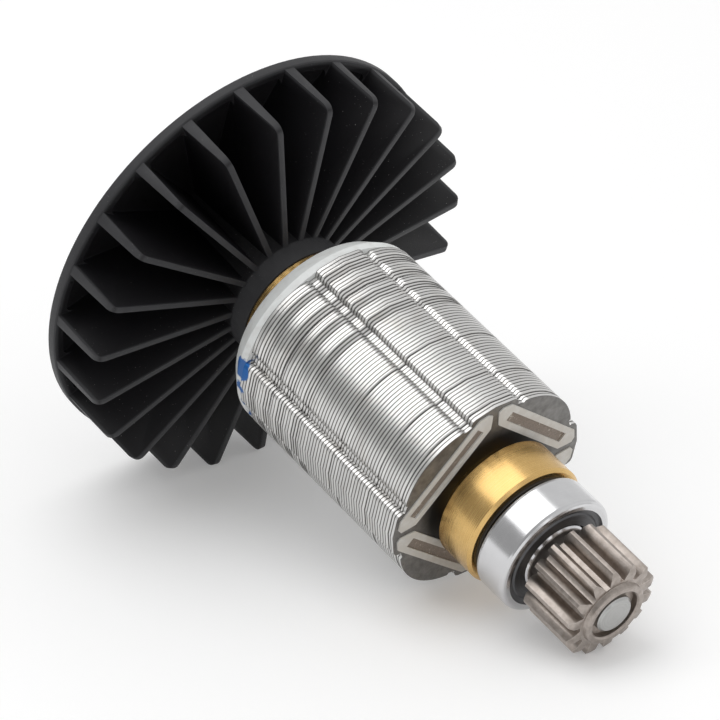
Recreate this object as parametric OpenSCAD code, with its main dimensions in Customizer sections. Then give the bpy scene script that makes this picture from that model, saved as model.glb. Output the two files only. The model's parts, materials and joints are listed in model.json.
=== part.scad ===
// Rotor of a brushless power-tool motor, lying on two fan blades and two pinion teeth.
// Along the shaft, z = 0 is the front face of the front bearing and +z points to the pinion.
// The origin lies on the floor under the middle of the rotor. Millimetres, +Z up.

/* [Bearings] */
// Outside diameter of each ball bearing
bearing_d = 16; // [15:0.5:19]
// Width of each ball bearing
bearing_w = 5; // [4.6:0.2:6]
// Bore of each ball bearing
bearing_bore = 5; // [4.6:0.1:5.4]
// Diameter of each ball
ball_d = 3.5; // [3.1:0.01:3.5]
// Balls in each bearing
ball_count = 7; // [6:1:7]
// Gap between balls and raceways
ball_gap = 0.04; // [0.02:0.005:0.08]
// Rounding on the outer edges of the outer rings
ring_round = 0.6; // [0.3:0.1:0.8]
// Thickness of the bearing shields
shield_t = 0.25; // [0.15:0.05:0.3]

/* [Shaft] */
// Diameter of the shaft under the pinion
pinion_seat_d = 5; // [4.6:0.1:5.4]
// Diameter of the shaft inside the core
core_seat_d = 8.4; // [7.6:0.2:9]
// Diameter of the shaft inside the fan
fan_seat_d = 6.8; // [6.2:0.1:7.4]
// Length of shaft that stands out behind the rear bearing
shaft_tail = 1.4; // [0.5:0.1:3]
// Chamfer on the shaft ends
shaft_chamfer = 0.3; // [0.1:0.05:0.5]

/* [Laminated core] */
// Diameter over the poles
core_d = 27.4; // [26.4:0.2:28.4]
// Length of the stack
core_len = 29.6; // [24:0.2:38]
// Radius of each lobed pole cap
cap_r = 9.1; // [8:0.1:11]
// Half width of each pole cap
cap_half = 5.4; // [5:0.1:5.6]
// Depth of the groove beside each pole cap
groove_depth = 0.95; // [0.5:0.05:1]
// Half angle of each corner between two poles
corner_half = 14.5; // [12:0.5:15]
// Steel web left between neighbouring magnet slots
slot_web = 0.85; // [0.7:0.05:1.3]
// Steel bridge left outside the ends of the magnet slots
slot_bridge = 0.5; // [0.35:0.05:0.75]
// Distance from the shaft axis to the inner face of a magnet slot
slot_in = 7.9; // [7.4:0.05:8.1]
// Thickness of a magnet slot
slot_t = 3; // [2.7:0.1:3.2]

/* [Magnets and moulding] */
// Width of each magnet
magnet_w = 12.8; // [11:0.1:13.4]
// Thickness of each magnet
magnet_t = 1.3; // [0.9:0.1:1.9]
// Step down from the end of the moulding to the magnet
magnet_sink = 0.2; // [0.1:0.05:0.5]
// Height of the moulding above the front face of the core
moulding_proud = 0.15; // [0:0.05:0.4]
// Diameter of the rear disc of the moulding at the core
disc_d = 27; // [25:0.2:27.2]
// Diameter of the rear disc at its rear face
disc_rear_d = 24.4; // [22:0.1:26]
// Thickness of the rear disc
disc_t = 3.3; // [2.6:0.1:5]
// Straight part of the disc's edge
disc_land = 1; // [0.5:0.1:1.6]

/* [Brass rings] */
// Outside diameter of both balance rings
brass_d = 16.6; // [15.2:0.1:17.6]
// Length of the front balance ring
front_brass_len = 5.7; // [4.2:0.1:7.6]
// Length of the narrow neck behind the front ring
brass_neck_len = 1.5; // [0.8:0.05:2.5]
// Diameter of that neck
brass_neck_d = 12.2; // [10:0.1:14]
// Length of the rear balance ring
rear_brass_len = 3.25; // [2.5:0.05:5]
// Chamfer on the outer edges of the rings
brass_chamfer = 0.4; // [0.2:0.05:0.7]
// Width of the dark gap between front ring and bearing
spacer_len = 0.7; // [0.5:0.05:1.3]
// Diameter of the dark washer in that gap
spacer_d = 14.6; // [12:0.1:15.2]
// Height of the washer's own boss that touches the bearing
spacer_boss = 0.3; // [0.2:0.05:0.4]

/* [Pinion] */
// Teeth on the pinion
teeth = 14; // [11:1:15]
// Module of the teeth
module_mm = 0.8; // [0.7:0.01:0.82]
// Profile shift of the teeth, as a share of the module
profile_shift = 0.1; // [0:0.05:0.3]
// Pressure angle of the teeth in degrees
pressure_angle = 20; // [17:0.5:24]
// Height of the rear collar that touches the bearing
pinion_collar_len = 1.6; // [0.8:0.1:2.6]
// Length of the teeth
tooth_len = 8.3; // [6:0.1:14]
// Height of the raised ring round the pinion's bore
pinion_ring_h = 0.7; // [0.3:0.1:1]
// Outside diameter of the raised ring
pinion_ring_d = 8.4; // [7.6:0.1:8.8]
// Diameter of the recess round the shaft end
pinion_recess_d = 6.6; // [5.8:0.1:7]
// Depth of that recess
pinion_recess_h = 1; // [0.5:0.1:1.7]
// Chamfer on the ends of the teeth
tooth_chamfer = 0.35; // [0.2:0.05:0.5]

/* [Fan] */
// Diameter over the fan's rim
fan_d = 56; // [50:0.2:62]
// Number of blades
blade_count = 23; // [15:2:27]
// Height of the blades above the rim
blade_h = 8.4; // [6:0.2:12]
// Blade thickness along its top edge
blade_tip_t = 0.7; // [0.6:0.05:1]
// Widening of each blade face over its depth, in degrees
blade_draft = 2.2; // [1:0.1:2.6]
// Rounding on the outer corner of each blade
blade_round = 1.25; // [0.7:0.05:2]
// Drop of the blades' top edge from hub to rim
blade_fall = 0.7; // [0:0.1:1.6]
// Radial width of the rim
rim_w = 1.25; // [1:0.05:2]
// Height of the rim
rim_h = 1.2; // [1:0.1:2]
// Thickness of the dished plate
plate_t = 1.2; // [1:0.1:1.8]
// Depth of the dish at the hub
dish_depth = 5; // [3.4:0.2:6.6]
// Fillet between blade and rim
rim_fillet = 1.1; // [0.7:0.1:1.3]
// Diameter of the hub collar
hub_d = 16.7; // [15.6:0.1:18.4]
// Distance from the front of the hub collar to the blades
hub_lead = 2.5; // [1.6:0.1:3.4]
// Wall of the hub collar
hub_wall = 1.5; // [1.2:0.1:2]
// Diameter of the sleeve on the shaft
sleeve_d = 10.4; // [9.8:0.1:10.8]
// Ribs between sleeve and hub collar
hub_ribs = 6; // [4:1:8]

/* [Hidden] */
$fn = 96;
eps = 0.01;

// Stations along the shaft, from the pinion end to the rear end
sleeve_boss = 0.7;
floor_step = 0.4;
spacer_z = -bearing_w;
brass_z = spacer_z - spacer_len;
neck_z = brass_z - front_brass_len;
core_z = neck_z - brass_neck_len;
disc_z = core_z - core_len;
rear_brass_z = disc_z - disc_t;
hub_z = rear_brass_z - rear_brass_len;
blade_z = hub_z - hub_lead;
blade_edge_z = blade_z - blade_fall;
rim_z = blade_edge_z - blade_h;
plate_z = rim_z - rim_h;
dish_z = rim_z - floor_step - dish_depth - plate_t;
rear_bearing_z = dish_z - sleeve_boss;
shaft_rear_z = rear_bearing_z - bearing_w - shaft_tail;
tooth_z = pinion_collar_len;
tooth_end_z = tooth_z + tooth_len;
pinion_end_z = tooth_end_z + pinion_ring_h;

// Pinion
ring_edge = 0.15;
pitch_r = teeth * module_mm / 2;
base_r = pitch_r * cos(pressure_angle);
tip_r = pitch_r + module_mm * (1 + profile_shift);
root_r = pitch_r - module_mm * (1.25 - profile_shift);
flank_steps = 6;
tooth_step = 360 / teeth;

// Core
core_r = core_d / 2;
slot_out = slot_in + slot_t;
slot_mid = slot_in + slot_t / 2;
ridge_h = 0.63;
ridge_ease = 0.13;
slot_step = 0.7;
slot_neck = 1.45;
pole_turn = -33.7;

// Bearing radii
ring_r = bearing_d / 2;
bore_r = bearing_bore / 2;
ball_pitch_r = (ring_r + bore_r) / 2;
race_r = ball_d / 2 + ball_gap;
outer_land = 1.15;
shield_seat_r = ring_r - 1.1;
inner_land_r = bore_r + 2;
shield_in_r = inner_land_r + 0.2;
shield_sink = 0.15;
shield_step = 0.2;
shield_bend_r = (shield_seat_r + shield_in_r) / 2 + 0.25;
shield_depth = shield_sink + shield_step + shield_t;

// Blades
fan_r = fan_d / 2;
rim_in_r = fan_r - rim_w;
hub_r = hub_d / 2;
blade_r = fan_r - 0.2;
blade_step = 360 / blade_count;

function polar(r, a) = [r * cos(a), r * sin(a)];
function involute_turn(r) = sqrt(pow(r / base_r, 2) - 1) * 180 / PI - acos(base_r / r);
shift_turn = 2 * profile_shift * tan(pressure_angle) / teeth * 180 / PI;
half_tooth = 90 / teeth + shift_turn + involute_turn(pitch_r);
flank_r0 = max(base_r, root_r);
function flank_r(i) = flank_r0 + (tip_r - flank_r0) * i / flank_steps;
function flank_angle(i) = half_tooth - involute_turn(flank_r(i));
function flip(p) = [p[0], -p[1]];

// How the rotor lies: on the rounded corners of two blades and the tips of two teeth
rest_blade_r = (blade_r - blade_round) * cos(blade_step / 2) + blade_tip_t / 2 * sin(blade_step / 2);
rest_blade_z = blade_edge_z - blade_round;
rest_tooth_r = tip_r * cos(tooth_step / 2 - half_tooth + involute_turn(tip_r));
rest_run = tooth_end_z - tooth_chamfer - rest_blade_z;
rest_rise = rest_blade_r - rest_tooth_r;
tilt = atan(rest_rise / rest_run) + asin(blade_round * 0.994 / norm([rest_run, rest_rise]));
shaft_h = rest_tooth_r * cos(tilt) + (tooth_end_z - tooth_chamfer) * sin(tilt);

// Sideways shift that brings the middle of the rotor over the origin
front_x = pinion_end_z * cos(tilt) + (pinion_ring_d / 2 - ring_edge) * sin(tilt);
rear_x = (rear_bearing_z - bearing_w) * cos(tilt) - (ring_r - ring_round) * sin(tilt);
shaft_x = -(front_x + rear_x) / 2;

// Turns the shaft from upright to its lying position
module lay() {
    translate([shaft_x, 0, shaft_h])
        rotate([0, 90 + tilt, 0])
            children();
}

module tube(r, bore, z0, z1) {
    difference() {
        translate([0, 0, z0])
            cylinder(r = r, h = z1 - z0);
        translate([0, 0, z0 - 1])
            cylinder(r = bore, h = z1 - z0 + 2);
    }
}

module rotor_shaft() {
    color([0.6, 0.6, 0.59])
        lay()
            rotate_extrude()
                polygon([[0, shaft_rear_z],
                    [bore_r - shaft_chamfer, shaft_rear_z],
                    [bore_r, shaft_rear_z + shaft_chamfer],
                    [bore_r, rear_bearing_z],
                    [fan_seat_d / 2, rear_bearing_z],
                    [fan_seat_d / 2, hub_z],
                    [core_seat_d / 2, hub_z],
                    [core_seat_d / 2, brass_z],
                    [bore_r, brass_z],
                    [bore_r, 0],
                    [pinion_seat_d / 2, 0],
                    [pinion_seat_d / 2, pinion_end_z - shaft_chamfer],
                    [pinion_seat_d / 2 - shaft_chamfer, pinion_end_z],
                    [0, pinion_end_z]]);
}

// Outline of one steel sheet: four lobed caps, a groove each side, and ridged corners
module sheet_outline() {
    circle(r = core_r - groove_depth);
    for (k = [0:3]) {
        rotate(90 * k)
            intersection() {
                translate([core_r - cap_r, 0])
                    circle(r = cap_r);
                translate([0, -cap_half])
                    square([core_r + 1, 2 * cap_half]);
            }
        rotate(90 * k + 45)
            polygon([[0, 0],
                polar(core_r - ridge_h, -corner_half - 0.8),
                polar(core_r - ridge_ease, -corner_half + 0.6),
                polar(core_r, -corner_half + 2.5),
                [core_r + 0.1, 0],
                polar(core_r, corner_half - 2.5),
                polar(core_r - ridge_ease, corner_half - 0.6),
                polar(core_r - ridge_h, corner_half + 0.8)]);
    }
}

// One magnet slot, pole along +x
module slot_outline() {
    web = slot_web / sqrt(2);
    reach = core_r - slot_bridge;
    a1 = 41.2 - slot_web;
    a2 = 34.5;
    half = [[slot_in, slot_in - web * 1.35],
        [slot_in + slot_step, slot_in + slot_step - web * 1.15],
        [slot_in + slot_neck, slot_in + slot_neck - web * 1.1],
        polar(reach, a1),
        polar(reach, a2),
        [slot_out, slot_out * tan(31)]];
    polygon(concat(half, [for (i = [5:-1:0]) flip(half[i])]));
}

module at_pole(k) {
    rotate([0, 0, pole_turn + 90 * k])
        children();
}

module lamination_stack() {
    color([0.72, 0.72, 0.72])
        lay()
            at_pole(0)
                translate([0, 0, disc_z])
                    linear_extrude(core_len)
                        difference() {
                            sheet_outline();
                            circle(r = core_seat_d / 2);
                            for (k = [0:3])
                                rotate(90 * k)
                                    slot_outline();
                        }
}

module magnet(k) {
    color([0.59, 0.52, 0.47])
        lay()
            at_pole(k)
                translate([slot_mid - magnet_t / 2, -magnet_w / 2, disc_z])
                    cube([magnet_t, magnet_w, core_len + moulding_proud - magnet_sink]);
}

module magnet_moulding() {
    color([0.93, 0.94, 0.93])
        lay() {
            difference() {
                translate([0, 0, disc_z - eps])
                    linear_extrude(core_len + moulding_proud + eps)
                        for (k = [0:3])
                            rotate(pole_turn + 90 * k)
                                slot_outline();
                for (k = [0:3])
                    at_pole(k)
                        translate([slot_mid - magnet_t / 2, -magnet_w / 2, disc_z])
                            cube([magnet_t, magnet_w, core_len + 2]);
            }
            rotate_extrude()
                polygon([[core_seat_d / 2, rear_brass_z],
                    [disc_rear_d / 2 - 0.3, rear_brass_z],
                    [disc_rear_d / 2, rear_brass_z + 0.3],
                    [disc_d / 2, disc_z - disc_land],
                    [disc_d / 2, disc_z],
                    [core_seat_d / 2, disc_z]]);
        }
}

module front_balance_ring() {
    c = brass_chamfer;
    color([0.84, 0.64, 0.36])
        lay()
            rotate_extrude()
                polygon([[core_seat_d / 2, core_z],
                    [brass_neck_d / 2, core_z],
                    [brass_neck_d / 2, neck_z],
                    [brass_d / 2 - c / 2, neck_z],
                    [brass_d / 2, neck_z + c / 2],
                    [brass_d / 2, brass_z - c],
                    [brass_d / 2 - c, brass_z],
                    [core_seat_d / 2, brass_z]]);
}

module rear_balance_ring() {
    c = brass_chamfer;
    color([0.84, 0.64, 0.36])
        lay()
            rotate_extrude()
                polygon([[core_seat_d / 2, hub_z],
                    [brass_d / 2 - c / 2, hub_z],
                    [brass_d / 2, hub_z + c / 2],
                    [brass_d / 2, rear_brass_z - c],
                    [brass_d / 2 - c, rear_brass_z],
                    [core_seat_d / 2, rear_brass_z]]);
}

module front_spacer() {
    color([0.13, 0.12, 0.12])
        lay()
            rotate_extrude()
                polygon([[bore_r, brass_z],
                    [spacer_d / 2, brass_z],
                    [spacer_d / 2, spacer_z - spacer_boss],
                    [inner_land_r - 0.3, spacer_z - spacer_boss],
                    [inner_land_r - 0.3, spacer_z],
                    [bore_r, spacer_z]]);
}

// Places a bearing part whose own z = 0 is the middle of the bearing
module at_bearing(front_face_z) {
    lay()
        translate([0, 0, front_face_z - bearing_w / 2])
            children();
}

module race() {
    rotate_extrude()
        translate([ball_pitch_r, 0])
            circle(r = race_r, $fn = 48);
}

module outer_ring(front_face_z) {
    w = bearing_w / 2;
    q = ring_round;
    color([0.8, 0.81, 0.82])
        at_bearing(front_face_z)
            difference() {
                rotate_extrude()
                    polygon([[ball_pitch_r + outer_land, -w + shield_depth],
                        [shield_seat_r, -w + shield_depth],
                        [shield_seat_r, -w],
                        [ring_r - q, -w],
                        [ring_r - q * 0.5, -w + q * 0.134],
                        [ring_r - q * 0.134, -w + q * 0.5],
                        [ring_r, -w + q],
                        [ring_r, w - q],
                        [ring_r - q * 0.134, w - q * 0.5],
                        [ring_r - q * 0.5, w - q * 0.134],
                        [ring_r - q, w],
                        [shield_seat_r, w],
                        [shield_seat_r, w - shield_depth],
                        [ball_pitch_r + outer_land, w - shield_depth]]);
                race();
            }
}

module inner_ring(front_face_z) {
    w = bearing_w / 2;
    color([0.8, 0.81, 0.82])
        at_bearing(front_face_z)
            difference() {
                rotate_extrude()
                    polygon([[bore_r, -w],
                        [inner_land_r - 0.2, -w],
                        [inner_land_r, -w + 0.2],
                        [inner_land_r, w - 0.2],
                        [inner_land_r - 0.2, w],
                        [bore_r, w]]);
                race();
            }
}

module balls(front_face_z) {
    color([0.85, 0.86, 0.87])
        at_bearing(front_face_z)
            for (k = [0:ball_count - 1])
                rotate([0, 0, 360 / ball_count * k])
                    translate([ball_pitch_r, 0, 0])
                        sphere(d = ball_d, $fn = 32);
}

module cage(front_face_z) {
    half = race_r + 0.15;
    color([0.62, 0.6, 0.55])
        at_bearing(front_face_z)
            difference() {
                tube(ball_pitch_r + 0.25, ball_pitch_r - 0.25, -half, half);
                for (k = [0:ball_count - 1])
                    rotate([0, 0, 360 / ball_count * k])
                        translate([ball_pitch_r - 1, 0, 0])
                            rotate([0, 90, 0])
                                cylinder(r = race_r, h = 2);
            }
}

// Pressed shield with one step, its outer face towards +z
module shield_profile() {
    b = shield_bend_r;
    s = shield_step;
    rotate_extrude()
        polygon([[shield_in_r, -shield_sink - shield_t],
            [b - 0.1, -shield_sink - shield_t],
            [b + 0.1, -shield_depth],
            [shield_seat_r, -shield_depth],
            [shield_seat_r, -shield_sink - s],
            [b + 0.2, -shield_sink - s],
            [b, -shield_sink],
            [shield_in_r, -shield_sink]]);
}

module shield(front_face_z, side) {
    color([0.2, 0.2, 0.21])
        at_bearing(front_face_z)
            rotate([side > 0 ? 0 : 180, 0, 0])
                translate([0, 0, bearing_w / 2])
                    shield_profile();
}

// One tooth and the root gap after it, turned to its place
function tooth_points(k) = let (turn = tooth_step * (k + 0.5))
    concat([polar(root_r, turn - half_tooth - 1.5)],
        [for (i = [0:flank_steps]) polar(flank_r(i), turn - flank_angle(i))],
        [for (i = [flank_steps:-1:0]) polar(flank_r(i), turn + flank_angle(i))],
        [polar(root_r, turn + half_tooth + 1.5), polar(root_r, turn + tooth_step / 2)]);

// Involute spur pinion with chamfered tooth ends, raised ring, recess and rear collar
module pinion() {
    sunk_r = root_r - 0.3;
    c = tooth_chamfer;
    bore = pinion_seat_d / 2;
    ring = pinion_ring_d / 2;
    recess = pinion_recess_d / 2;
    collar = inner_land_r - 0.3;
    color([0.66, 0.6, 0.56])
        lay() {
            intersection() {
                translate([0, 0, tooth_z])
                    linear_extrude(tooth_len)
                        polygon([for (k = [0:teeth - 1]) each tooth_points(k)]);
                rotate_extrude()
                    polygon([[sunk_r - 0.5, tooth_z],
                        [tip_r - 2 * c, tooth_z],
                        [tip_r + eps, tooth_z + c],
                        [tip_r + eps, tooth_end_z - c],
                        [tip_r - 2 * c, tooth_end_z],
                        [sunk_r - 0.5, tooth_end_z]]);
            }
            rotate_extrude()
                polygon([[bore, 0],
                    [collar, 0],
                    [collar, tooth_z],
                    [sunk_r + 0.2, tooth_z],
                    [sunk_r + 0.2, tooth_end_z],
                    [ring + 0.1, tooth_end_z],
                    [ring, pinion_end_z - ring_edge],
                    [ring - ring_edge, pinion_end_z],
                    [recess + 0.2, pinion_end_z],
                    [recess, pinion_end_z - 0.2],
                    [recess, pinion_end_z - pinion_recess_h],
                    [bore, pinion_end_z - pinion_recess_h]]);
        }
}

// Height of the pocket floor at radius r
function floor_z(r) = rim_z - floor_step - dish_depth * (rim_in_r - r) / (rim_in_r - hub_r);

// Space that the blades may fill: rounded outer corner, gently falling top edge
module blade_envelope() {
    steps = 5;
    rotate_extrude()
        polygon(concat([[hub_r - 1, floor_z(hub_r) - 0.3], [hub_r - 1, blade_z]],
            [for (i = [0:steps]) [blade_r - blade_round, blade_edge_z - blade_round]
                + polar(blade_round, 90 - 90 * i / steps)],
            [[blade_r, rim_z - floor_step - 0.3]]));
}

// One straight radial blade, thicker towards the plate
module blade() {
    depth = blade_h + blade_fall + floor_step + dish_depth + 0.5;
    tip = blade_tip_t / 2;
    root = tip + tan(blade_draft) * depth;
    translate([hub_r - 0.8, 0, 0])
        rotate([90, 0, 90])
            linear_extrude(blade_r - hub_r + 1)
                polygon([[-tip, blade_z], [tip, blade_z], [root, blade_z - depth], [-root, blade_z - depth]]);
}

// Fillets that join one blade to the inside of the rim
module rim_fillets() {
    side = blade_tip_t / 2 + tan(blade_draft) * (blade_h + blade_fall);
    drop = floor_step + 0.7;
    for (m = [0, 1])
        mirror([0, m, 0])
            translate([0, 0, rim_z - drop])
                difference() {
                    translate([rim_in_r - rim_fillet, side - 0.3, 0])
                        cube([rim_fillet + 0.5, rim_fillet + 0.3, drop]);
                    translate([rim_in_r - rim_fillet, side + rim_fillet, -1])
                        cylinder(r = rim_fillet - 0.02, h = 4);
                }
}

module cooling_fan() {
    core_out = hub_r - hub_wall;
    web_z = hub_z - 2.8;
    color([0.09, 0.09, 0.1])
        lay() {
            intersection() {
                for (k = [0:blade_count - 1])
                    rotate([0, 0, blade_step * (k + 0.5)])
                        blade();
                blade_envelope();
            }
            for (k = [0:blade_count - 1])
                rotate([0, 0, blade_step * (k + 0.5)])
                    rim_fillets();
            rotate_extrude()
                polygon([[fan_seat_d / 2, hub_z],
                    [hub_r, hub_z],
                    [hub_r, floor_z(hub_r)],
                    [rim_in_r, rim_z - floor_step],
                    [rim_in_r, rim_z],
                    [fan_r - 0.15, rim_z],
                    [fan_r, rim_z - 0.15],
                    [fan_r, plate_z],
                    [hub_r, dish_z],
                    [core_out, dish_z],
                    [core_out, web_z],
                    [sleeve_d / 2, web_z],
                    [sleeve_d / 2, dish_z],
                    [inner_land_r - 0.2, dish_z],
                    [inner_land_r - 0.2, rear_bearing_z],
                    [fan_seat_d / 2, rear_bearing_z]]);
            for (k = [0:hub_ribs - 1])
                rotate([0, 0, 360 / hub_ribs * k])
                    translate([sleeve_d / 2 - 0.4, -0.6, dish_z + 1.2])
                        cube([core_out - sleeve_d / 2 + 0.8, 1.2, web_z - dish_z - 1]);
        }
}

rotor_shaft();
lamination_stack();
magnet(3);  // magnet_a
magnet(2);  // magnet_b
magnet(1);  // magnet_c
magnet(0);  // magnet_d
magnet_moulding();
front_balance_ring();
front_spacer();
outer_ring(0);  // front_outer_ring
inner_ring(0);  // front_inner_ring
balls(0);  // front_balls
cage(0);  // front_cage
shield(0, 1);  // front_shield
shield(0, -1);  // front_back_shield
pinion();
rear_balance_ring();
cooling_fan();
outer_ring(rear_bearing_z);  // rear_outer_ring
inner_ring(rear_bearing_z);  // rear_inner_ring
balls(rear_bearing_z);  // rear_balls
cage(rear_bearing_z);  // rear_cage
shield(rear_bearing_z, 1);  // rear_shield
shield(rear_bearing_z, -1);  // rear_back_shield
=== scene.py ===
# %% [markdown]
# Rotor of a brushless power-tool motor
#
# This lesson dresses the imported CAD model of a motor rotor. The rotor lies on a pale table, on two
# blades of its fan and two teeth of its pinion. The CAD gives the true sizes and places, so no
# shape is fitted by eye here. We add what CAD leaves out: the edges of the steel sheets, soft edges on the
# moulded fan, and the metals, plastics, dust and paint.

# %% Load the frame
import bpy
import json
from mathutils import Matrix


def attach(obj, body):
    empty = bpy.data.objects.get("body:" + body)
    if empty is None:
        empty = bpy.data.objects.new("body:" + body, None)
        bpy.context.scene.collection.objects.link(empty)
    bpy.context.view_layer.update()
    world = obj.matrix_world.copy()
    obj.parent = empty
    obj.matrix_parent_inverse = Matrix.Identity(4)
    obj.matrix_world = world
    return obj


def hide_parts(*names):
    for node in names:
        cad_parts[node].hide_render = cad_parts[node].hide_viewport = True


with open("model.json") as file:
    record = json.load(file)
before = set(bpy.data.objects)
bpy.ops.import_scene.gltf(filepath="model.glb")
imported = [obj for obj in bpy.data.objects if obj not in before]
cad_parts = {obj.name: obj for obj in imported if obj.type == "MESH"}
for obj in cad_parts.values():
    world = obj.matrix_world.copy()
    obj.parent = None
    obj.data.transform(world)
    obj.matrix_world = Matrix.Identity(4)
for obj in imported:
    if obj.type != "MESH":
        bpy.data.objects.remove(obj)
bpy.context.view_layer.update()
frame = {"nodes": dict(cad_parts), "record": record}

# %% [markdown]
# Everything on a rotor is round about one line, so it pays to have that line at hand. The record's
# mount on the front bearing gives a point on the shaft and its direction. From these we make one
# matrix, which takes an upright shaft to the place where it really lies.

# %% The shaft's own coordinates
import json
import math

import bpy
from mathutils import Matrix, Vector

MM = 0.001
mounts = {m["name"]: m for m in frame["record"]["mounts"]}
seat = mounts["front_bearing_seat"]
bearing_width = 5 * MM
shaft_dir = Vector(seat["axis"]).normalized()
shaft_front = Vector(seat["pos_m"]) + shaft_dir * bearing_width / 2
tilt = math.asin(-shaft_dir.z)
lay_down = Matrix.Translation(shaft_front) @ Matrix.Rotation(math.pi / 2 + tilt, 4, "Y")
stand_up = lay_down.inverted()
print("shaft falls by", round(math.degrees(tilt), 2), "degrees; its front point is", tuple(shaft_front))


def stations(node):
    """Lowest and highest place of a CAD node along the shaft, in millimetres."""
    places = [(stand_up @ v.co).z / MM for v in frame["nodes"][node].data.vertices]
    return min(places), max(places)


core_rear, core_front = stations("lamination_stack")
print("core from", round(core_rear, 2), "to", round(core_front, 2), "mm along the shaft")

# %% [markdown]
# The camera stands where the photographer stood: above the pinion's right, looking along the rotor
# with a long lens, so that the far fan is hardly smaller than the near pinion. A long lens far away
# flattens depth, a short one near by stretches it.

# %% Camera
camera_data = bpy.data.cameras.new("camera")
camera_data.lens = 200
camera_data.sensor_width = 36
camera_data.clip_start = 0.01
camera_data.clip_end = 20
camera = bpy.data.objects.new("camera", camera_data)
camera.location = (0.32641, -0.28325, 0.21768)
camera.rotation_euler = [math.radians(a) for a in (65.791, -0.582, 49.742)]
bpy.context.scene.collection.objects.link(camera)
bpy.context.scene.camera = camera
print("camera", round(camera_data.angle_x * 57.3, 1), "degrees wide")


# %% [markdown]
# Materials are nets of nodes. A few small helpers keep the cells short: one adds a node and fills in
# its inputs, others make a math node, a mix, a range or a noise, and the last starts a material and
# hands back its Principled shader.

# %% Helpers for node nets
def node(tree, kind, **inputs):
    """Adds a node. Inputs are values, or sockets to link from; names use _ for a space."""
    made = tree.nodes.new(kind)
    for name, value in inputs.items():
        key = int(name[1:]) if name[0] == "i" and name[1:].isdigit() else name.replace("_", " ")
        if isinstance(value, bpy.types.NodeSocket):
            tree.links.new(value, made.inputs[key])
        elif hasattr(made.inputs[key].default_value, "__len__") and not hasattr(value, "__len__"):
            made.inputs[key].default_value = [value] * 3
        else:
            made.inputs[key].default_value = value
    return made


def math_node(tree, operation, a, b=0.0, clamp=False):
    made = node(tree, "ShaderNodeMath", i0=a, i1=b)
    made.operation = operation
    made.use_clamp = clamp
    return made.outputs[0]


def mix_colour(tree, share, a, b):
    made = tree.nodes.new("ShaderNodeMix")
    made.data_type = "RGBA"
    for index, value in ((0, share), (6, a), (7, b)):
        if isinstance(value, bpy.types.NodeSocket):
            tree.links.new(value, made.inputs[index])
        elif index == 0:
            made.inputs[0].default_value = value
        else:
            made.inputs[index].default_value = (*value, 1)
    return made.outputs[2]


def between(tree, value, low, high):
    """0 below low, 1 above high, straight in between."""
    made = node(tree, "ShaderNodeMapRange", Value=value, From_Min=low, From_Max=high)
    return made.outputs[0]


def noise(tree, vector, scale, detail=3.0, roughness=0.55):
    made = node(tree, "ShaderNodeTexNoise", Vector=vector, Scale=scale, Detail=detail, Roughness=roughness)
    return made.outputs["Fac"]


def start_material(name, colour, metallic, roughness):
    made = bpy.data.materials.new(name)
    made.use_nodes = True
    shader = made.node_tree.nodes["Principled BSDF"]
    shader.inputs["Base Color"].default_value = (*colour, 1)
    shader.inputs["Metallic"].default_value = metallic
    shader.inputs["Roughness"].default_value = roughness
    made.diffuse_color = (*colour, 1)
    return made, made.node_tree, shader


print("helpers ready")

# %% [markdown]
# Turned, ground and stacked parts all show marks that follow the shaft. So the first shared node
# group turns Object coordinates into the shaft's own: millimetres along it, distance from it, and a
# vector in which the shaft stands upright. A Mapping node of the Texture kind undoes the same turn
# and shift that laid the rotor down.

# %% Node group: shaft coordinates
def new_group(name, inputs, outputs):
    group = bpy.data.node_groups.new(name, "ShaderNodeTree")
    for title, kind, value in inputs:
        socket = group.interface.new_socket(title, in_out="INPUT", socket_type=kind)
        if value is not None:
            socket.default_value = value
    for title, kind in outputs:
        group.interface.new_socket(title, in_out="OUTPUT", socket_type=kind)
    return group, group.nodes.new("NodeGroupInput").outputs, group.nodes.new("NodeGroupOutput").inputs


FLOAT, VECTOR = "NodeSocketFloat", "NodeSocketVector"
shaft_outputs = [("Upright", VECTOR), ("Along", FLOAT), ("Radius", FLOAT)]
shaft_group, _, out = new_group("shaft coordinates", [], shaft_outputs)
coordinates = shaft_group.nodes.new("ShaderNodeTexCoord")
mapping = node(shaft_group, "ShaderNodeMapping", Vector=coordinates.outputs["Object"], Location=tuple(shaft_front),
               Rotation=(0, math.pi / 2 + tilt, 0), Scale=(MM, MM, MM))
mapping.vector_type = "TEXTURE"
parts = node(shaft_group, "ShaderNodeSeparateXYZ", Vector=mapping.outputs[0])
flat = node(shaft_group, "ShaderNodeCombineXYZ", X=parts.outputs[0], Y=parts.outputs[1])
length = node(shaft_group, "ShaderNodeVectorMath", i0=flat.outputs[0])
length.operation = "LENGTH"
shaft_group.links.new(mapping.outputs[0], out["Upright"])
shaft_group.links.new(parts.outputs[2], out["Along"])
shaft_group.links.new(length.outputs["Value"], out["Radius"])


def use_group(tree, group, **inputs):
    made = tree.nodes.new("ShaderNodeGroup")
    made.node_tree = group
    for name, value in inputs.items():
        if isinstance(value, bpy.types.NodeSocket):
            tree.links.new(value, made.inputs[name.replace("_", " ")])
        else:
            made.inputs[name.replace("_", " ")].default_value = value
    return made.outputs


print("group", shaft_group.name)
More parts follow.
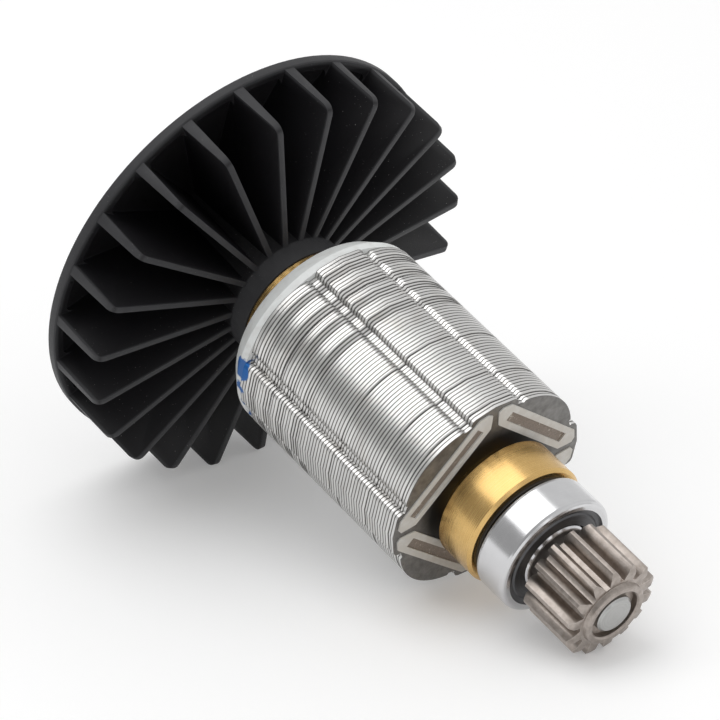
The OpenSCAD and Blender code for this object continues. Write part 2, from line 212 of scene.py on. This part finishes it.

# %% [markdown]
# Two more effects are wanted again and again. Tool marks are a noise that is stretched round the
# shaft: it changes quickly along the shaft and hardly at all around it. Edges are found by
# comparing the true normal with a rounded one, which differs only where a corner is near. The pinion uses this for
# wear, the fan for a painted highlight.

# %% Node groups: tool marks, and edge wear and highlight
marks_inputs = [("Fineness", FLOAT, 12.0), ("Seed", FLOAT, 0.0)]
marks_group, given, out = new_group("tool marks", marks_inputs, [("Marks", FLOAT)])
place = use_group(marks_group, shaft_group)
marks_at = node(marks_group, "ShaderNodeCombineXYZ", X=place["Along"], Y=place["Radius"], Z=given["Seed"])
fine = noise(marks_group, marks_at.outputs[0], given["Fineness"], 4.0, 0.7)
around = noise(marks_group, place["Upright"], 0.6, 2.0)
weak_around = math_node(marks_group, "MULTIPLY", around, 0.35)
marks_group.links.new(math_node(marks_group, "ADD", fine, weak_around), out["Marks"])

edge_inputs = [("Width", FLOAT, 0.0002), ("Sharpness", FLOAT, 6.0)]
edge_group, given, out = new_group("edge wear and highlight", edge_inputs, [("Edge", FLOAT)])
rounded = node(edge_group, "ShaderNodeBevel", Radius=given["Width"])
rounded.samples = 4
true_normal = edge_group.nodes.new("ShaderNodeNewGeometry").outputs["Normal"]
agreement = node(edge_group, "ShaderNodeVectorMath", i0=rounded.outputs[0], i1=true_normal)
agreement.operation = "DOT_PRODUCT"
lack = math_node(edge_group, "SUBTRACT", 1.0, agreement.outputs["Value"])
edge_group.links.new(math_node(edge_group, "MULTIPLY", lack, given["Sharpness"], True), out["Edge"])
print("groups", marks_group.name, "and", edge_group.name)

# %% [markdown]
# A bump turns grey values into small tilts of the surface. Here one helper joins a height to a
# shader, and gives the height in real millimetres, so that a scratch is as deep as a scratch is.

# %% Helper for bumps
def add_bump(tree, shader, height, depth_mm, normal=None):
    bump = node(tree, "ShaderNodeBump", Height=height, Distance=depth_mm * MM)
    bump.inputs["Strength"].default_value = 1.0
    if normal is not None:
        tree.links.new(normal, bump.inputs["Normal"])
    tree.links.new(bump.outputs[0], shader.inputs["Normal"])
    return bump.outputs[0]


print("bump helper ready")

# %% [markdown]
# The core is a pack of steel sheets, each half a millimetre thick. CAD keeps it as one solid, which
# is right for its weight, but the eye sees sixty edges with a fine dark line between each two. We
# copy the solid, stand it upright, cut three rings of edges at every joint and draw the middle ring
# inwards, so that each joint becomes a small groove. Real grooves catch real light from every side,
# which painted lines can't do.

# %% Copying a CAD node
def deselect():
    if bpy.context.object and bpy.context.object.mode != "OBJECT":
        bpy.ops.object.mode_set(mode="OBJECT")
    bpy.ops.object.select_all(action="DESELECT")


def copy_of(name, cad_node):
    """A merged copy of a CAD node, standing upright in the shaft's coordinates, ready to edit."""
    mesh = frame["nodes"][cad_node].data.copy()
    mesh.transform(stand_up)
    mesh.materials.clear()
    piece = bpy.data.objects.new(name, mesh)
    bpy.context.scene.collection.objects.link(piece)
    deselect()
    piece.select_set(True)
    bpy.context.view_layer.objects.active = piece
    bpy.ops.object.mode_set(mode="EDIT")
    bpy.ops.mesh.select_all(action="SELECT")
    bpy.ops.mesh.remove_doubles(threshold=0.001 * MM)
    bpy.ops.mesh.dissolve_limited(angle_limit=math.radians(0.5))
    bpy.ops.mesh.select_all(action="DESELECT")
    bpy.ops.object.mode_set(mode="OBJECT")
    return piece


def lay_piece(piece, smooth_below=30):
    """Smooths a finished upright piece and lays it down with the rest of the rotor."""
    deselect()
    piece.select_set(True)
    bpy.context.view_layer.objects.active = piece
    bpy.ops.object.shade_smooth_by_angle(angle=math.radians(smooth_below))
    piece.data.transform(lay_down)
    return piece


sheet_pack = copy_of("sheet_pack", "lamination_stack")
print("copy has", len(sheet_pack.data.polygons), "faces")

# %% Cutting the joints between the sheets
sheet_count = 60
groove_width = 0.2
groove_depth = 0.14
sheet_pitch = (core_front - core_rear) / sheet_count
joints = [core_rear + sheet_pitch * i for i in range(1, sheet_count)]

deselect()
sheet_pack.select_set(True)
bpy.context.view_layer.objects.active = sheet_pack
bpy.ops.object.mode_set(mode="EDIT")
for joint in joints:
    for shift in (-groove_width / 2, 0, groove_width / 2):
        bpy.ops.mesh.select_all(action="SELECT")
        bpy.ops.mesh.bisect(plane_co=(0, 0, (joint + shift) * MM), plane_no=(0, 0, 1))
bpy.ops.mesh.select_all(action="DESELECT")
bpy.ops.object.mode_set(mode="OBJECT")

core_radius = max(v.co.xy.length for v in sheet_pack.data.vertices)
skin_from = core_radius - 1.3 * MM
for v in sheet_pack.data.vertices:
    nearest = round((v.co.z / MM - core_rear) / sheet_pitch)
    on_joint = abs(v.co.z / MM - core_rear - nearest * sheet_pitch) < 0.005 and 0 < nearest < sheet_count
    if on_joint and v.co.xy.length > skin_from:
        v.co.xy *= 1 - groove_depth * MM / v.co.xy.length
lay_piece(sheet_pack, 20)
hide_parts("lamination_stack")
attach(sheet_pack, "rotor")
print(sheet_pack.name, len(sheet_pack.data.polygons), "faces", sheet_count, "sheets")

# %% [markdown]
# No moulded edge is perfectly sharp. The fan's blades and rim end in tiny rounds that catch a thin
# line of light, and without them black plastic looks like paper. A bevel modifier on a merged copy
# rounds every edge at once, and is then applied.

# %% The fan with softened edges
def soften(piece, width_mm, segments=2, above=25):
    bevel = piece.modifiers.new("soft edges", "BEVEL")
    bevel.width = width_mm * MM
    bevel.segments = segments
    bevel.limit_method = "ANGLE"
    bevel.angle_limit = math.radians(above)
    bevel.use_clamp_overlap = True
    bevel.harden_normals = False
    deselect()
    piece.select_set(True)
    bpy.context.view_layer.objects.active = piece
    bpy.ops.object.modifier_apply(modifier=bevel.name)
    return piece


fan = copy_of("moulded_fan", "cooling_fan")
soften(fan, 0.12)
lay_piece(fan, 35)
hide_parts("cooling_fan")
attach(fan, "rotor")
print(fan.name, len(fan.data.polygons), "faces")

# %% [markdown]
# The maker marked the balanced rotor with a dab of blue paint on the edge where the white disc meets
# the sheets, and it ran a little way along that edge. The same mask serves both materials.

# %% Helper for the blue paint
PAINT = (0.03, 0.14, 0.42)
PAINT_DROPS = (
    (272, 13.3, -42.9, 1.5),
    (284, 13.2, -42.7, 0.9),
    (296, 13.1, -42.6, 0.6),
    (308, 13.1, -42.6, 0.45),
)


def painted(tree, place, colour):
    """Mix the blue paint over a colour; each drop is (angle, radius, station, size), in mm."""
    ragged = math_node(tree, "MULTIPLY", noise(tree, place["Upright"], 1.6, 3.0), 0.9)
    for angle, radius, station, size in PAINT_DROPS:
        spot = (radius * math.cos(math.radians(angle)), radius * math.sin(math.radians(angle)), station)
        away = node(tree, "ShaderNodeVectorMath", i0=place["Upright"], i1=spot)
        away.operation = "DISTANCE"
        reach = math_node(tree, "ADD", away.outputs["Value"], ragged)
        colour = mix_colour(tree, between(tree, reach, size + 0.55, size + 0.35), colour, PAINT)
    return colour


print(len(PAINT_DROPS), "drops of paint")

# %% [markdown]
# The pinion is cut from bar and tumbled, which dulls every corner a little. It gets the same
# treatment with a finer round.

# %% The pinion with tumbled edges
gear = copy_of("tumbled_pinion", "pinion")
soften(gear, 0.05, 2, 28)
lay_piece(gear, 30)
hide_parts("pinion")
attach(gear, "rotor")
print(gear.name, len(gear.data.polygons), "faces")

# %% [markdown]
# Punched steel has a bright metal edge with fine scratches along the punch's stroke. Each sheet came
# off the strip a little different, so each gets its own shade: the place along the shaft, divided
# by the sheet's thickness and rounded down, gives the sheet's number, and white noise gives the
# number a shade.

# %% Material: sheet edges
edge_steel, tree, shader = start_material("punched_edges", (0.62, 0.615, 0.6), 1.0, 0.3)
place = use_group(tree, shaft_group)
from_rear = math_node(tree, "SUBTRACT", place["Along"], core_rear)
number = math_node(tree, "FLOOR", math_node(tree, "DIVIDE", from_rear, sheet_pitch))
shade = tree.nodes.new("ShaderNodeTexWhiteNoise")
shade.noise_dimensions = "1D"
tree.links.new(number, shade.inputs["W"])
stretch = node(tree, "ShaderNodeVectorMath", i0=place["Upright"], i1=(1.0, 1.0, 0.25))
stretch.operation = "MULTIPLY"
streak = noise(tree, stretch.outputs[0], 5.0, 4.0)
blotch = noise(tree, place["Upright"], 0.35, 3.0)
base = mix_colour(tree, shade.outputs["Value"], (0.66, 0.655, 0.645), (0.76, 0.755, 0.74))
stained = math_node(tree, "MULTIPLY", between(tree, blotch, 0.52, 0.72), 0.25)
base = mix_colour(tree, stained, base, (0.42, 0.37, 0.32))
# painted shade: each joint between two sheets is darkened as if shade fell into it, on top of the real groove
sheet = math_node(tree, "DIVIDE", math_node(tree, "SUBTRACT", place["Along"], core_rear), sheet_pitch)
sway = math_node(tree, "SUBTRACT", noise(tree, place["Upright"], 1.2, 2.0), 0.5)
wander = math_node(tree, "MULTIPLY", sway, 0.06)
share = math_node(tree, "FRACT", math_node(tree, "ADD", sheet, wander))
from_joint = math_node(tree, "ABSOLUTE", math_node(tree, "SUBTRACT", share, 0.5))
painted_joint_shade = between(tree, from_joint, 0.3, 0.42)
base = mix_colour(tree, painted_joint_shade, base, (0.07, 0.065, 0.06))
base = painted(tree, place, base)
tree.links.new(base, shader.inputs["Base Color"])
rough = node(tree, "ShaderNodeMapRange", Value=streak, To_Min=0.24, To_Max=0.42)
tree.links.new(rough.outputs[0], shader.inputs["Roughness"])
add_bump(tree, shader, streak, 0.02)

# the flat end faces are coated sheet: grey, duller, with stains, and with near-black painted shade round the brass
# rings
face_steel, tree, shader = start_material("coated_sheet", (0.2, 0.195, 0.19), 0.6, 0.45)
place = use_group(tree, shaft_group)
stain = noise(tree, place["Upright"], 0.9, 5.0, 0.65)
# painted shade: towards the brass ring the face darkens to near black
clear_of_ring_shade = between(tree, place["Radius"], 8.2, 10.5)
tone = mix_colour(tree, between(tree, stain, 0.3, 0.75), (0.13, 0.125, 0.12), (0.27, 0.265, 0.255))
tone = mix_colour(tree, clear_of_ring_shade, (0.02, 0.02, 0.02), tone)
tree.links.new(tone, shader.inputs["Base Color"])
add_bump(tree, shader, noise(tree, place["Upright"], 9.0, 3.0), 0.01)

sheet_pack.data.materials.append(edge_steel)
sheet_pack.data.materials.append(face_steel)
for face in sheet_pack.data.polygons:
    face.material_index = 1 if abs(face.normal.dot(shaft_dir)) > 0.99 else 0
print("sheet pack dressed")

# %% [markdown]
# The other parts keep their CAD shape and only need a finish. Each gets its own material, built from
# the same few effects.

# %% Materials of the plain metal parts
def dress(material, *nodes):
    for name in nodes:
        mesh = frame["nodes"][name].data
        mesh.materials.clear()
        mesh.materials.append(material)


def turned_metal(name, dark, light, roughness, fineness, depth_mm, seed=0.0):
    made, net, principled = start_material(name, light, 1.0, roughness)
    marks = use_group(net, marks_group, Fineness=fineness, Seed=seed)["Marks"]
    colour = mix_colour(net, between(net, marks, 0.35, 0.95), dark, light)
    net.links.new(colour, principled.inputs["Base Color"])
    spread = node(net, "ShaderNodeMapRange", Value=marks, To_Min=roughness * 0.6, To_Max=roughness * 1.5)
    net.links.new(spread.outputs[0], principled.inputs["Roughness"])
    add_bump(net, principled, marks, depth_mm)
    return made


brass = turned_metal("turned_brass", (0.58, 0.36, 0.12), (0.78, 0.53, 0.22), 0.22, 7.0, 0.004)
dress(brass, "front_balance_ring", "rear_balance_ring")
ground = turned_metal("ground_bearing_steel", (0.58, 0.58, 0.59), (0.72, 0.72, 0.73), 0.16, 10.0, 0.002, 3.0)
dress(ground, "front_outer_ring", "rear_outer_ring", "front_inner_ring", "rear_inner_ring")
shaft_steel = turned_metal("shaft_steel", (0.4, 0.4, 0.39), (0.56, 0.56, 0.55), 0.3, 8.0, 0.006, 5.0)
dress(shaft_steel, "rotor_shaft")
cage_steel = turned_metal("cage_steel", (0.4, 0.39, 0.36), (0.52, 0.5, 0.46), 0.35, 8.0, 0.004, 7.0)
dress(cage_steel, "front_cage", "rear_cage")
ball_steel = turned_metal("ball_steel", (0.7, 0.7, 0.71), (0.76, 0.76, 0.77), 0.08, 3.0, 0.0005, 9.0)
dress(ball_steel, "front_balls", "rear_balls")

washer, tree, shader = start_material("dark_washer", (0.012, 0.011, 0.011), 0.0, 0.5)
place = use_group(tree, shaft_group)
grit = noise(tree, place["Upright"], 6.0, 4.0)
tone = mix_colour(tree, grit, (0.006, 0.006, 0.006), (0.03, 0.028, 0.026))
tree.links.new(tone, shader.inputs["Base Color"])
add_bump(tree, shader, grit, 0.02)
dress(washer, "front_spacer")

shield_steel, tree, shader = start_material("dark_shield", (0.05, 0.05, 0.052), 0.9, 0.35)
marks = use_group(tree, marks_group, Fineness=9.0, Seed=2.0)["Marks"]
tree.links.new(mix_colour(tree, marks, (0.03, 0.03, 0.032), (0.14, 0.14, 0.145)), shader.inputs["Base Color"])
add_bump(tree, shader, marks, 0.005)
dress(shield_steel, "front_shield", "front_back_shield", "rear_shield", "rear_back_shield")
print("plain metal parts dressed")

# %% [markdown]
# The pinion's steel is a warm grey, blotched by hardening, with a lighter shine where its corners
# were rubbed in tumbling.

# %% Material: hardened pinion
pinion_steel, tree, shader = start_material("hardened_steel", (0.4, 0.355, 0.32), 1.0, 0.3)
place = use_group(tree, shaft_group)
blotch = noise(tree, place["Upright"], 1.1, 5.0, 0.65)
scuff = noise(tree, place["Upright"], 9.0, 4.0, 0.7)
wear_and_highlight = use_group(tree, edge_group, Width=0.15 * MM, Sharpness=5.0)["Edge"]
tone = mix_colour(tree, between(tree, blotch, 0.3, 0.7), (0.3, 0.26, 0.23), (0.47, 0.42, 0.385))
tone = mix_colour(tree, math_node(tree, "MULTIPLY", wear_and_highlight, 0.7), tone, (0.66, 0.62, 0.58))
tree.links.new(tone, shader.inputs["Base Color"])
rough = node(tree, "ShaderNodeMapRange", Value=scuff, To_Min=0.22, To_Max=0.48)
tree.links.new(rough.outputs[0], shader.inputs["Roughness"])
add_bump(tree, shader, scuff, 0.006)
gear.data.materials.append(pinion_steel)
print("pinion dressed")

# %% [markdown]
# A sintered magnet is a pressed and baked powder: dull, brown-grey and grainy, with small chips.

# %% Material: sintered magnet
sintered, tree, shader = start_material("sintered_magnet", (0.3, 0.25, 0.21), 0.35, 0.6)
place = use_group(tree, shaft_group)
grain = noise(tree, place["Upright"], 7.0, 6.0, 0.75)
patch = noise(tree, place["Upright"], 1.6, 3.0)
tone = mix_colour(tree, between(tree, grain, 0.25, 0.75), (0.16, 0.13, 0.11), (0.42, 0.36, 0.31))
tone = mix_colour(tree, between(tree, patch, 0.62, 0.7), tone, (0.6, 0.56, 0.5))
tree.links.new(tone, shader.inputs["Base Color"])
add_bump(tree, shader, grain, 0.05)
dress(sintered, "magnet_a", "magnet_b", "magnet_c", "magnet_d")
print("magnets dressed")

# %% [markdown]
# The white plastic is matte and clean on the disc, and a little greyer where it was pressed into the
# magnet slots.

# %% Material: white moulding
moulding, tree, shader = start_material("white_moulding", (0.84, 0.86, 0.85), 0.0, 0.5)
place = use_group(tree, shaft_group)
cloud = noise(tree, place["Upright"], 0.8, 4.0)
at_front = between(tree, place["Along"], core_rear, core_front)
tone = mix_colour(tree, at_front, (0.87, 0.89, 0.88), (0.66, 0.64, 0.6))
tone = mix_colour(tree, between(tree, cloud, 0.45, 0.8), tone, (0.76, 0.76, 0.74))
tone = painted(tree, place, tone)
tree.links.new(tone, shader.inputs["Base Color"])
add_bump(tree, shader, noise(tree, place["Upright"], 5.0, 4.0), 0.02)
dress(moulding, "magnet_moulding")
print("moulding dressed")

# %% [markdown]
# Black plastic is never quite black. It has a fine grain, a soft shine, and on this fan a dusting of
# pale specks that settled on the faces of the blades.

# %% Material: black fan plastic
plastic, tree, shader = start_material("black_plastic", (0.008, 0.0075, 0.009), 0.0, 0.5)
shader.inputs["Specular IOR Level"].default_value = 0.3
place = use_group(tree, shaft_group)
grain = noise(tree, place["Upright"], 14.0, 3.0)
cloud = noise(tree, place["Upright"], 0.5, 4.0)

# painted highlight: the rim's outer wall, the blades' top edges and the corners are lightened grey, as if they
# reflected the bright room
top_line = node(tree, "ShaderNodeMapRange", Value=place["Radius"],
                From_Min=7.5, From_Max=27.5, To_Min=-51.7, To_Max=-52.4)
on_top = between(tree, math_node(tree, "SUBTRACT", place["Along"], top_line.outputs[0]), -0.15, 0.05)
on_rim = between(tree, place["Radius"], 27.3, 27.6)
wear_and_highlight = use_group(tree, edge_group, Width=0.25 * MM, Sharpness=4.0)["Edge"]
painted_edge_highlight = math_node(tree, "MAXIMUM", math_node(tree, "MAXIMUM", on_top, on_rim), wear_and_highlight)
uneven = node(tree, "ShaderNodeMapRange", Value=cloud, To_Min=0.7, To_Max=1.2)
uneven_edge_highlight = math_node(tree, "MULTIPLY", painted_edge_highlight, uneven.outputs[0], True)
# painted highlight colour, mixed in along the fan's edges
tone = mix_colour(tree, uneven_edge_highlight, (0.008, 0.0075, 0.009), (0.042, 0.042, 0.045))

# pale dust: fine specks that lie thick on some patches and are rare elsewhere
patches = between(tree, noise(tree, place["Upright"], 0.16, 3.0), 0.46, 0.62)
for scale, size, share in ((2.6, 0.09, 0.6), (1.1, 0.06, 0.85)):
    speck = tree.nodes.new("ShaderNodeTexVoronoi")
    tree.links.new(place["Upright"], speck.inputs["Vector"])
    speck.inputs["Scale"].default_value = scale
    chance = node(tree, "ShaderNodeSeparateColor", Color=speck.outputs["Color"]).outputs[0]
    picked = between(tree, chance, 1 - share, 1 - share + 0.02)
    dot = between(tree, speck.outputs["Distance"], size, size * 0.6)
    lying = math_node(tree, "MULTIPLY", dot, picked)
    amount = node(tree, "ShaderNodeMapRange", Value=patches, To_Min=0.15, To_Max=0.9)
    dust = math_node(tree, "MULTIPLY", lying, amount.outputs[0])
    tone = mix_colour(tree, dust, tone, (0.4, 0.39, 0.38))
tree.links.new(tone, shader.inputs["Base Color"])
rough = node(tree, "ShaderNodeMapRange", Value=grain, To_Min=0.42, To_Max=0.6)
tree.links.new(rough.outputs[0], shader.inputs["Roughness"])
add_bump(tree, shader, grain, 0.02)
fan.data.materials.append(plastic)
print("fan dressed")

# %% [markdown]
# The table is a plain pale sheet. It shows its own shadows, and a little extra brightness that only
# the camera and mirror-like surfaces see lifts it to the white of a studio table.

# %% Table and lights
deselect()
bpy.ops.mesh.primitive_plane_add(size=6, location=(0, 0, -0.00002))
table = bpy.context.object
table.name = "table"
pale, tree, shader = start_material("pale_table", (0.86, 0.86, 0.86), 0.0, 0.7)
seen = tree.nodes.new("ShaderNodeLightPath").outputs
mirrored = math_node(tree, "MAXIMUM", seen["Is Glossy Ray"], seen["Is Transmission Ray"])
seen_or_mirrored = math_node(tree, "MAXIMUM", seen["Is Camera Ray"], mirrored)
shader.inputs["Emission Color"].default_value = (1, 1, 1, 1)
tree.links.new(math_node(tree, "MULTIPLY", seen_or_mirrored, 0.2), shader.inputs["Emission Strength"])
table.data.materials.append(pale)


def soft_box(name, place, aim, width, height, watts):
    data = bpy.data.lights.new(name, "AREA")
    data.shape = "RECTANGLE"
    data.size, data.size_y = width, height
    data.energy = watts
    lamp = bpy.data.objects.new(name, data)
    lamp.location = place
    lamp.rotation_euler = (Vector(aim) - Vector(place)).to_track_quat("-Z", "Y").to_euler()
    bpy.context.scene.collection.objects.link(lamp)
    return lamp


soft_box("overhead", (-0.24, -0.34, 0.82), (-0.24, -0.34, 0), 0.7, 1.05, 3.6)
soft_box("front", (0.9, -0.1, 0.45), (0, 0, 0.01), 0.35, 0.5, 0.5)

world = bpy.data.worlds.new("studio")
bpy.context.scene.world = world
world.use_nodes = True
tree = world.node_tree
back = tree.nodes["Background"]
direction = tree.nodes.new("ShaderNodeTexCoord").outputs["Generated"]
sides = node(tree, "ShaderNodeSeparateXYZ", Vector=direction)
room_range = node(tree, "ShaderNodeMapRange", Value=sides.outputs[1],
                  From_Min=-0.9, From_Max=0.5, To_Min=0.4, To_Max=0.78)
room = room_range.outputs[0]
seen = tree.nodes.new("ShaderNodeLightPath").outputs
strength = tree.nodes.new("ShaderNodeMix")
tree.links.new(seen["Is Camera Ray"], strength.inputs[0])
tree.links.new(room, strength.inputs[2])
strength.inputs[3].default_value = 1.0
tree.links.new(strength.outputs[0], back.inputs["Strength"])
back.inputs["Color"].default_value = (1, 1, 1, 1)

scene = bpy.context.scene
scene.view_settings.view_transform = "Standard"
print("table, lights and world ready")

# %% Done
print("scene built")
